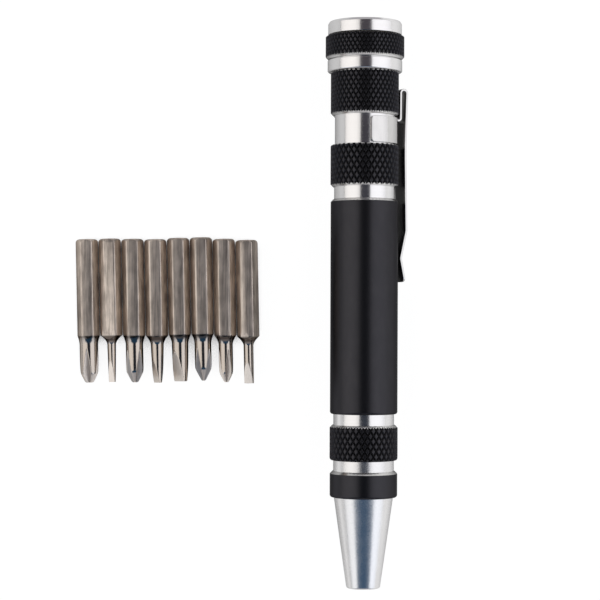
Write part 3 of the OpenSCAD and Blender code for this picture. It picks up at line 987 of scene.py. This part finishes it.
def coated(finish, nodes, sockets):
    """Finish that ends in a shader with the given sockets."""
    nodes.node("OutputMaterial", {}, {"Surface": nodes.node("BsdfPrincipled", {}, sockets)})
    return finish


def turning(place):
    """Distance along the handle plus distance from its axis, which the tool's rings follow."""
    x, y, z = (place.node("SeparateXYZ", {}, {0: place}, axis) for axis in range(3))
    return y + (x * x + z * z) ** 0.5


def turned_aluminium(name, roughness, grit):
    """Bright turned aluminium: the tool's fine rings, a grit as from blasting and a faint bloom."""
    finish, nodes, place = new_finish(name)
    reach = turning(place)
    fine, broad = rings(reach, 0.09, 2), rings(reach, 0.45, 1)
    speck = grain(place, (0.12, 0.12, 0.12), 2)
    bloom = grain(place, (2.4, 4.2, 2.4), 3)
    lines = fine * 0.5 + broad * 0.5
    shade = lines * (1 - grit) * 0.5 + speck * grit * 0.5 + bloom * 0.5
    return coated(finish, nodes, {
        "Base Color": mixed(shade, *ALUMINIUM),
        "Metallic": 1,
        "Roughness": (lines * (1 - grit) + speck * grit + bloom - 1) * 0.08 + roughness,
        "Normal": bumped(fine * (1 - grit) * 0.4 + speck * grit, 0.0025),
    })


def black_anodised():
    """Satin black skin, lighter in the knurl's grooves as painted light and mottled by smears, with bare metal
    where it was cut.

    The skin is a dark metal whose tint keeps it from brightening where it is seen at a slant.
    """
    finish, nodes, place = new_finish("black_anodised")
    cut, crest = point_value(nodes, "cut"), point_value(nodes, "crest")
    speck = grain(place, (0.1, 0.1, 0.1), 2)
    smear = grain(place, (1.6, 3.5, 1.6), 3)
    fine = rings(turning(place), 0.12, 2)
    bare = stepped(cut + (speck - 0.5) * 0.02, -0.006, 0.006)
    # Painted light: the black is lighter in the knurl's grooves than on its crests, mottled by smears
    groove_light_and_smear = stepped(crest * 0.8 + smear * 0.4, 0.4, 1.1)
    satin = 0.60 - crest * 0.27 + (smear - 0.5) * 0.06 + (speck - 0.5) * 0.06
    return coated(finish, nodes, {
        "Base Color": mixed(bare, mixed(groove_light_and_smear, *GROOVE_LIT_BLACK_SKIN), mixed(fine, *CUT_METAL)),
        "Metallic": 1,
        "Specular Tint": BLACK_TINT,
        "Roughness": satin * (1 - bare) + bare * (0.16 + fine * 0.1),
        "Normal": bumped(speck * 0.6 + fine * 0.4, 0.002),
    })


def polished_strip():
    """Polished spring steel with faint lengthwise lines from rolling, and a few softer smears."""
    finish, nodes, place = new_finish("polished_spring_steel")
    rolled = grain(place, (0.08, 6, 0.08), 3)
    smear = grain(place, (1.5, 3, 1.5), 2)
    return coated(finish, nodes, {
        "Base Color": mixed(rolled * 0.5 + smear * 0.5, *POLISHED_STRIP),
        "Metallic": 1,
        "Roughness": 0.07 + rolled * 0.06 + smear * 0.05,
        "Normal": bumped(rolled, 0.0008),
    })


def ring_steel():
    """Darker spring steel of the retaining ring, with lines from rolling and oil stains."""
    finish, nodes, place = new_finish("oiled_spring_steel")
    rolled = grain(place, (0.5, 0.06, 0.06), 2)
    stain = grain(place, (0.7, 0.7, 0.7), 3)
    return coated(finish, nodes, {
        "Base Color": mixed(stain, *OILED_STEEL),
        "Metallic": 1,
        "Roughness": 0.26 + rolled * 0.14,
        "Normal": bumped(rolled, 0.002),
    })


def bit_steel():
    """Drawn shank with lengthwise grain and dull stains, a neck darkened partly as dull steel and partly with
    painted shade, bright shaft and ground tip.
    """
    finish, nodes, place = new_finish("bit_steel")
    along, neck, ground = (point_value(nodes, name) for name in ("along", "neck", "ground"))
    drawn = grain(place, (0.1, 9, 0.1), 3)
    coarse = grain(place, (0.35, 14, 0.35), 2)
    stain = grain(place, (1.1, 3, 1.1), 3)
    lines = rings(along * MM, 0.08, 2)
    shank = stepped(along, GRAIN_START, GRAIN_FULL)
    drawn_shade = stepped(drawn * 0.45 + coarse * 0.25 + stain * 0.3, 0.28, 0.72)
    drawn_colour = mixed(drawn_shade, *DRAWN_SHANK)
    bright_colour = mixed(lines * 0.5 + stain * 0.5, *BRIGHT_SHAFT)
    worked = stepped(ground, 0, FLUTE_GROUND)
    shaft_colour = mixed(worked, bright_colour, mixed(drawn, *GROUND_TIP))
    # Painted shade: the neck gets darker with its hollow's depth, over dull stained steel
    dull_shaded_neck_colour = mixed(stain, *DULL_SHADED_NECK)
    bright_rough = 0.08 + lines * 0.06 + stain * 0.04
    shaft_rough = bright_rough * (1 - worked) + worked * (0.59 - ground * 0.34 + drawn * 0.12)
    drawn_rough = 0.30 + drawn * 0.14 + stain * 0.06
    return coated(finish, nodes, {
        "Base Color": mixed(shank, mixed(neck, shaft_colour, dull_shaded_neck_colour), drawn_colour),
        "Metallic": 1,
        "Specular Tint": BROWN_TINT,
        "Roughness": drawn_rough * shank + shaft_rough * (1 - shank),
        "Normal": bumped(drawn * shank + lines * (1 - shank) * 0.2, 0.004),
    })


def plated_magnet():
    """Nickel plating with a fine pebble and slightly dull spots."""
    finish, nodes, place = new_finish("plated_magnet")
    pebble = grain(place, (0.07, 0.07, 0.07), 2)
    dull = grain(place, (0.8, 0.8, 0.8), 2)
    return coated(finish, nodes, {
        "Base Color": mixed(dull, *NICKEL),
        "Metallic": 1,
        "Roughness": 0.16 + pebble * 0.08 + dull * 0.08,
        "Normal": bumped(pebble, 0.002),
    })


def white_nylon():
    """Slightly yellow nylon with a fine moulded texture and cloudy depth."""
    finish, nodes, place = new_finish("white_nylon")
    pebble = grain(place, (0.06, 0.06, 0.06), 2)
    cloud = grain(place, (1.8, 1.8, 1.8), 3)
    return coated(finish, nodes, {
        "Base Color": mixed(cloud, *NYLON),
        "Roughness": 0.45 + pebble * 0.15,
        "Normal": bumped(pebble, 0.003),
        "Subsurface Weight": 0.15,
        "Subsurface Radius": tuple(depth * MM for depth in NYLON_DEPTH),
    })


# Stage, lamps and camera, in metres

FLOOR_REACH = 3.2
RIM_ROUND = 0.2
RIM_HEIGHT = 0.34
# The floor's own colour, how bright its glow is, and how much of the floor's look is real light
PAPER = (0.82, 0.82, 0.82, 1)
FLOOR_GLOW = 0.96
FLOOR_SHARE = 0.15
# Share of the glow that reflections show on the left and on the right, less on the left as painted shade,
# and how much of that is left round the bits as their painted shadow
FLOOR_MIRRORED = (0.6, 0.82)
FLOOR_IN_BITS_SHADOW = 0.1
# Squares of the way out of the bits' ellipse over which the floor stops counting as round them
BITS_ZONE = (1, 2)
# Length over which the painted shadow sets in from the bits' tips on, how much brighter the floor is
# before them as painted light, and where that ends on each side, as the square of the row's half width
TIPS_FLOOR = 0.004
TIPS_PAINTED_LIGHT = 0.25
TIPS_ZONE = (0.6, 1)
# How near an object dims the floor, seen directly and in reflections
NEAR_SHADE = 0.0022
FAR_SHADE = 0.03
# How open the floor is where it looks dark, and from where on it looks white
DARK_FLOOR = 0.1
WHITE_FLOOR = 0.5
SHADE_SAMPLES = 6
# Distance of the lamps from the handle's axis, and how far back they reach
LAMP_REACH = 0.6
LAMP_BACK = 0.35
# Strips of a lamp: the angle from straight above up to which each reaches, and where it ends in
# front of the nose
LAMP_STRIPS = ((29, -0.11), (41, -0.16), (53, -0.34), (65, -0.42), (75, -0.42), (84, -0.42))
# Each lamp's side, the angles at which it starts and ends, how bright its strips look, its colour
LAMPS = {
    "left_lamp": (-1, (18, 82), (0.91, 1.05, 1.07, 1.05, 1, 0.9), (1, 0.975, 0.94)),
    "right_lamp": (1, (19.5, 84), (1.06, 1.12, 1.13, 1.12, 1.06, 0.93), (0.98, 0.98, 1)),
}
# Colours of the room, and how far along the handle's direction one goes over into the next
SKY = (0.022, 0.027, 0.038, 1)
SKY_FRONT = (0.025, 0.083, 0.170, 1)
SKY_BACK = (0.060, 0.051, 0.060, 1)
SKY_ENDS = (0.45, 0.44, 0.46, 1)
FRONT_STEP = (0.08, 0.5)
BACK_STEP = (0.02, 0.16)
ENDS_STEP = (0.3, 0.6)
# Camera: its place, its turn about the vertical, its focal length in millimetres and its shift
CAMERA_PLACE = (-0.01232, 0.04962, 0.366)
CAMERA_ROLL = np.radians(0.208)
CAMERA_LENS = 114
CAMERA_SHIFT = 0.05


def mirrored_share(nodes, place):
    """Share of the floor's glow that reflections show at a place.

    It goes over from the left's to the right's under the handle, the left's lower as painted shade. It is
    less in an ellipse round the row of bits, a painted shadow of them, except before their tips, where it
    is more, as painted light.
    """
    x, y = (nodes.node("SeparateXYZ", {}, {0: place}, axis) for axis in range(2))
    corners = np.array([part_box(node) for node in BITS])
    start, end = corners[:, 0].min(axis=0), corners[:, 1].max(axis=0)
    (x_middle, y_middle, _), (x_half, y_half, _) = (start + end) / 2, (end - start) / 2
    off_x, off_y = (x - x_middle) * (1 / x_half), (y - y_middle) * (1 / y_half)
    beside = stepped(off_x * off_x + off_y * off_y, *BITS_ZONE)
    ahead = 1 - stepped(y, start[1], start[1] + TIPS_FLOOR)
    open_floor = nodes.math("MAXIMUM", beside, ahead)
    # Painted shade: reflections see a dimmer floor on the left than on the right
    right = stepped(x, -FAR_SHADE, FAR_SHADE)
    low, high = FLOOR_MIRRORED
    before_tips = ahead * (1 - stepped(off_x * off_x, *TIPS_ZONE))
    # Painted shadow of the bits and painted light before their tips, seen only in reflections
    share = (low + right * (high - low)) * (FLOOR_IN_BITS_SHADOW + open_floor * (1 - FLOOR_IN_BITS_SHADOW))
    return share + before_tips * TIPS_PAINTED_LIGHT


def white_floor():
    """White that glows for the camera and in reflections, and keeps a share of real light.

    The glow fades where an object covers the floor: for the camera as a step of how open the floor
    is, and in reflections with the square of it.
    """
    finish, nodes, place = new_finish("white_floor")
    direct, mirrored, through = (
        nodes.node("LightPath", output=f"Is {kind} Ray")
        for kind in ("Camera", "Glossy", "Transmission")
    )
    seen = direct + mirrored + through
    shade = mirrored * (FAR_SHADE - NEAR_SHADE) + NEAR_SHADE
    clear = nodes.node("AmbientOcclusion", {"samples": SHADE_SAMPLES}, {"Distance": shade}, "AO")
    in_reflections = mirrored * clear * clear * mirrored_share(nodes, place)
    in_view = (1 - mirrored) * stepped(clear, DARK_FLOOR, WHITE_FLOOR)
    strength = (in_reflections + in_view) * (FLOOR_GLOW / (1 - FLOOR_SHARE))
    paper = nodes.node("BsdfDiffuse", {}, {"Color": PAPER})
    glow = nodes.node("Emission", {}, {"Strength": strength})
    shown = nodes.node("MixShader", {}, {0: FLOOR_SHARE, 1: glow, 2: paper})
    surface = nodes.node("MixShader", {}, {0: seen, 1: paper, 2: shown})
    nodes.node("OutputMaterial", {}, {"Surface": surface})
    return finish


def floor():
    """Round floor under the object that turns up into a low wall at its rim."""
    level = cad_box[0][2]
    arc = np.linspace(0, TURN / 4, 2 * ARC_STEPS)
    reach = np.concatenate([[0], FLOOR_REACH - RIM_ROUND * (1 - np.sin(arc)), [FLOOR_REACH]])
    height = level + np.concatenate([[0], RIM_ROUND * (1 - np.cos(arc)), [RIM_HEIGHT]])
    angle = angles(AROUND)
    points = np.stack(np.broadcast_arrays(
        reach[:, None] * np.sin(angle), reach[:, None] * np.cos(angle), height[:, None]
    ), axis=-1)
    mesh = closed_mesh("floor", points, grid_faces(len(reach), AROUND, False))
    mesh.materials.append(white_floor())
    new_object("floor", mesh)


def lamp(name, side, reach, levels, colour):
    """Large soft lamp on one side of the object, bent round it in long strips.

    A strip of brightness 1 sends pi watts from each square metre.
    """
    inner, end = reach
    for (outer, front), level in zip(LAMP_STRIPS, levels):
        outer = min(outer, end)
        near, far = (
            LAMP_REACH * np.array([side * np.sin(angle), 0, np.cos(angle)])
            for angle in np.radians([inner, outer])
        )
        strip = bpy.data.lights.new(name, "AREA")
        strip.shape = "RECTANGLE"
        strip.size = np.linalg.norm(far - near)
        strip.size_y = LAMP_BACK - front
        strip.color = colour
        strip.energy = level * np.pi * strip.size * strip.size_y
        holder = new_object(name, strip)
        holder.location = (near + far) / 2 + [0, (front + LAMP_BACK) / 2, 0]
        holder.rotation_euler = (0, side * np.radians(inner + outer) / 2, 0)
        holder.visible_camera = False
        inner = outer


def sky():
    """Dim room above the lamps, blue in front of the nose, purple behind, and pale at its ends."""
    world = bpy.data.worlds.new("room")
    world.use_nodes = True
    world.node_tree.nodes.clear()
    nodes = Value(world.node_tree)
    towards = nodes.node("TexCoord", output="Generated")
    tail = nodes.node("SeparateXYZ", {}, {0: towards}, "Y")
    front = stepped(0 - tail, *FRONT_STEP)
    back = stepped(tail, *BACK_STEP)
    middle = mixed(back, mixed(front, SKY, SKY_FRONT), SKY_BACK)
    colour = mixed(stepped(tail * tail, *ENDS_STEP), middle, SKY_ENDS)
    nodes.node("OutputWorld", {}, {"Surface": nodes.node("Background", {}, {"Color": colour})})
    bpy.context.scene.world = world


def camera():
    """Camera straight above the object."""
    lens = bpy.data.cameras.new("camera")
    lens.lens = CAMERA_LENS
    lens.shift_y = CAMERA_SHIFT
    holder = new_object("camera", lens)
    holder.location = CAMERA_PLACE
    holder.rotation_euler = (0, 0, CAMERA_ROLL)
    bpy.context.scene.camera = holder


# The screwdriver, from the nose to the tail, then its bits

bright = turned_aluminium("turned_aluminium", roughness=0.18, grit=0.1)
blasted = turned_aluminium("blasted_aluminium", roughness=0.27, grit=0.9)
black = black_anodised()
core_bore = outer_radius("core_tube") + BOND_GAP
plug_bore = outer_radius("tail_plug") - RING_LEDGE + BOND_GAP

nose_piece(blasted)
flat_disc("socket_magnet", plated_magnet())
plain_ring("front_ring", core_bore, black, BLACK_ROUND, BRIGHT_CUT)
knurled_ring("front_grip", core_bore, black, BLACK_ROUND, BRIGHT_CUT, COARSE)
core_tube(bright)
plain_ring("barrel_sleeve", core_bore, black, BLACK_ROUND, BRIGHT_CUT)
knurled_ring("rear_grip", core_bore, black, BACK_CUT, THIN_CUT, COARSE)
knurled_ring("upper_grip", core_bore, black, BACK_CUT, THIN_CUT, MEDIUM)
pocket_clip(polished_strip())
tail_plug(bright)
knurled_ring("plug_grip", plug_bore, black, BACK_CUT, FINE_ROUND, CLOSE)
flat_disc("thrust_washer", white_nylon(), WASHER_BORE)
swivel_top(bright)
ring_materials = frame["nodes"]["retaining_ring"].data.materials
ring_materials.clear()
ring_materials.append(ring_steel())

steel = bit_steel()
for node, sizes in BITS.items():
    bit(node, steel, *sizes)

floor()
for name, settings in LAMPS.items():
    lamp(name, *settings)
sky()
camera()
bpy.context.scene.view_settings.view_transform = "Standard"

bpy.context.view_layer.update()
